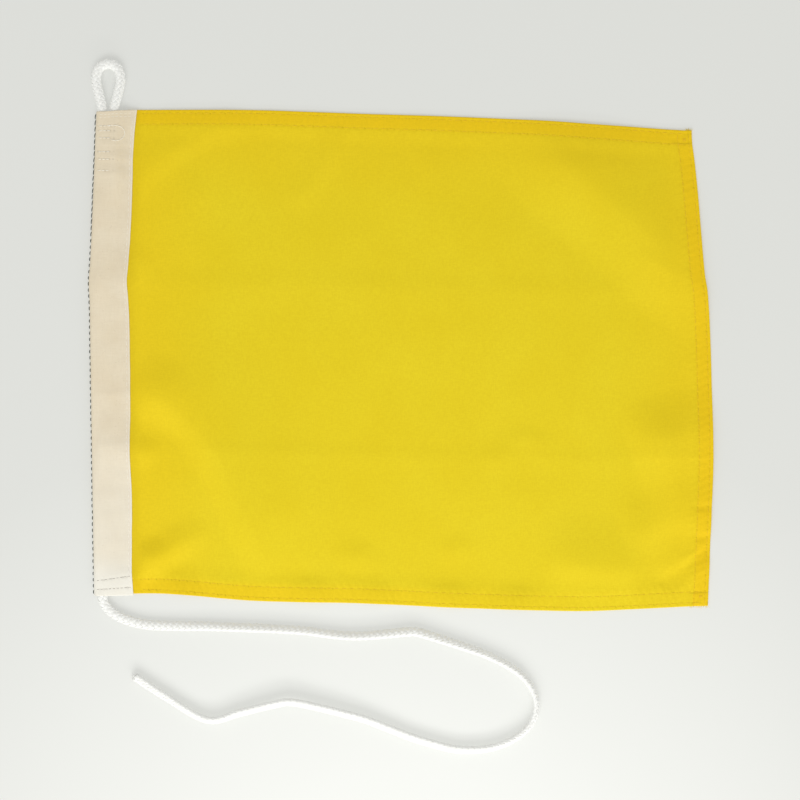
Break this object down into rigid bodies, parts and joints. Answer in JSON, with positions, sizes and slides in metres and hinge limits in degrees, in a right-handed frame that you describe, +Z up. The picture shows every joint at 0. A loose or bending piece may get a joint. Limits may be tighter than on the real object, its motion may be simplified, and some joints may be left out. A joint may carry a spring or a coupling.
{
  "type": "signal flag with roped heading",
  "caption": "Plain rectangular yellow signal flag lying flat: hemmed cloth, folded canvas heading, rope sewn inside it with an eye at the top and a loose tail cord.",
  "frame": {"origin": "centre of the flag and its eye on the surface it lies on, leaving the loose tail out", "axes": "+X from the heading to the fly, +Y up the hoist to the eye, +Z up"},
  "size_m": [0.3861, 0.429, 0.0078],
  "materials": {
    "yellow_bunting": "fine plain weave polyester bunting, soft sheen",
    "cream_canvas": "matt cotton canvas tape",
    "tracer_yarn": "dark green yarn",
    "cream_thread": "twisted sewing thread",
    "grey_thread": "twisted sewing thread",
    "yellow_thread": "twisted sewing thread",
    "white_rope": "glossy braided polypropylene"
  },
  "bodies": {
    "heading": {"heading_tape": "cream_canvas", "field_hoist_strip": "yellow_bunting", "tracer_thread": "tracer_yarn", "heading_seam_thread": "cream_thread", "heading_top_thread": "cream_thread", "eye_box_thread": "cream_thread", "foot_thread_upper": "grey_thread", "foot_thread_lower": "grey_thread", "heading_rope": "white_rope", "short_rope_leg": "white_rope", "tail_cord": "white_rope"},
    "field": {"field_panel": "yellow_bunting", "top_hem_outer_thread": "yellow_thread", "top_hem_inner_thread": "yellow_thread", "bottom_hem_outer_thread": "yellow_thread", "bottom_hem_inner_thread": "yellow_thread", "fly_hem_outer_thread": "yellow_thread", "fly_hem_inner_thread": "yellow_thread", "fly_top_backtack": "yellow_thread", "fly_bottom_backtack": "yellow_thread"},
    "eye": {"eye_loop": "white_rope"}
  },
  "joints": [
    {"name": "field_swing", "type": "hinge", "parent": "heading", "child": "field", "pos_m": [-0.1629, 0, 0.0012], "axis": [0, -1, 0], "range_deg": [0, 150]},
    {"name": "eye_tilt", "type": "hinge", "parent": "heading", "child": "eye", "pos_m": [-0.1808, 0.14015, 0.0054], "axis": [1, 0, 0], "range_deg": [0, 90]}
  ]
}
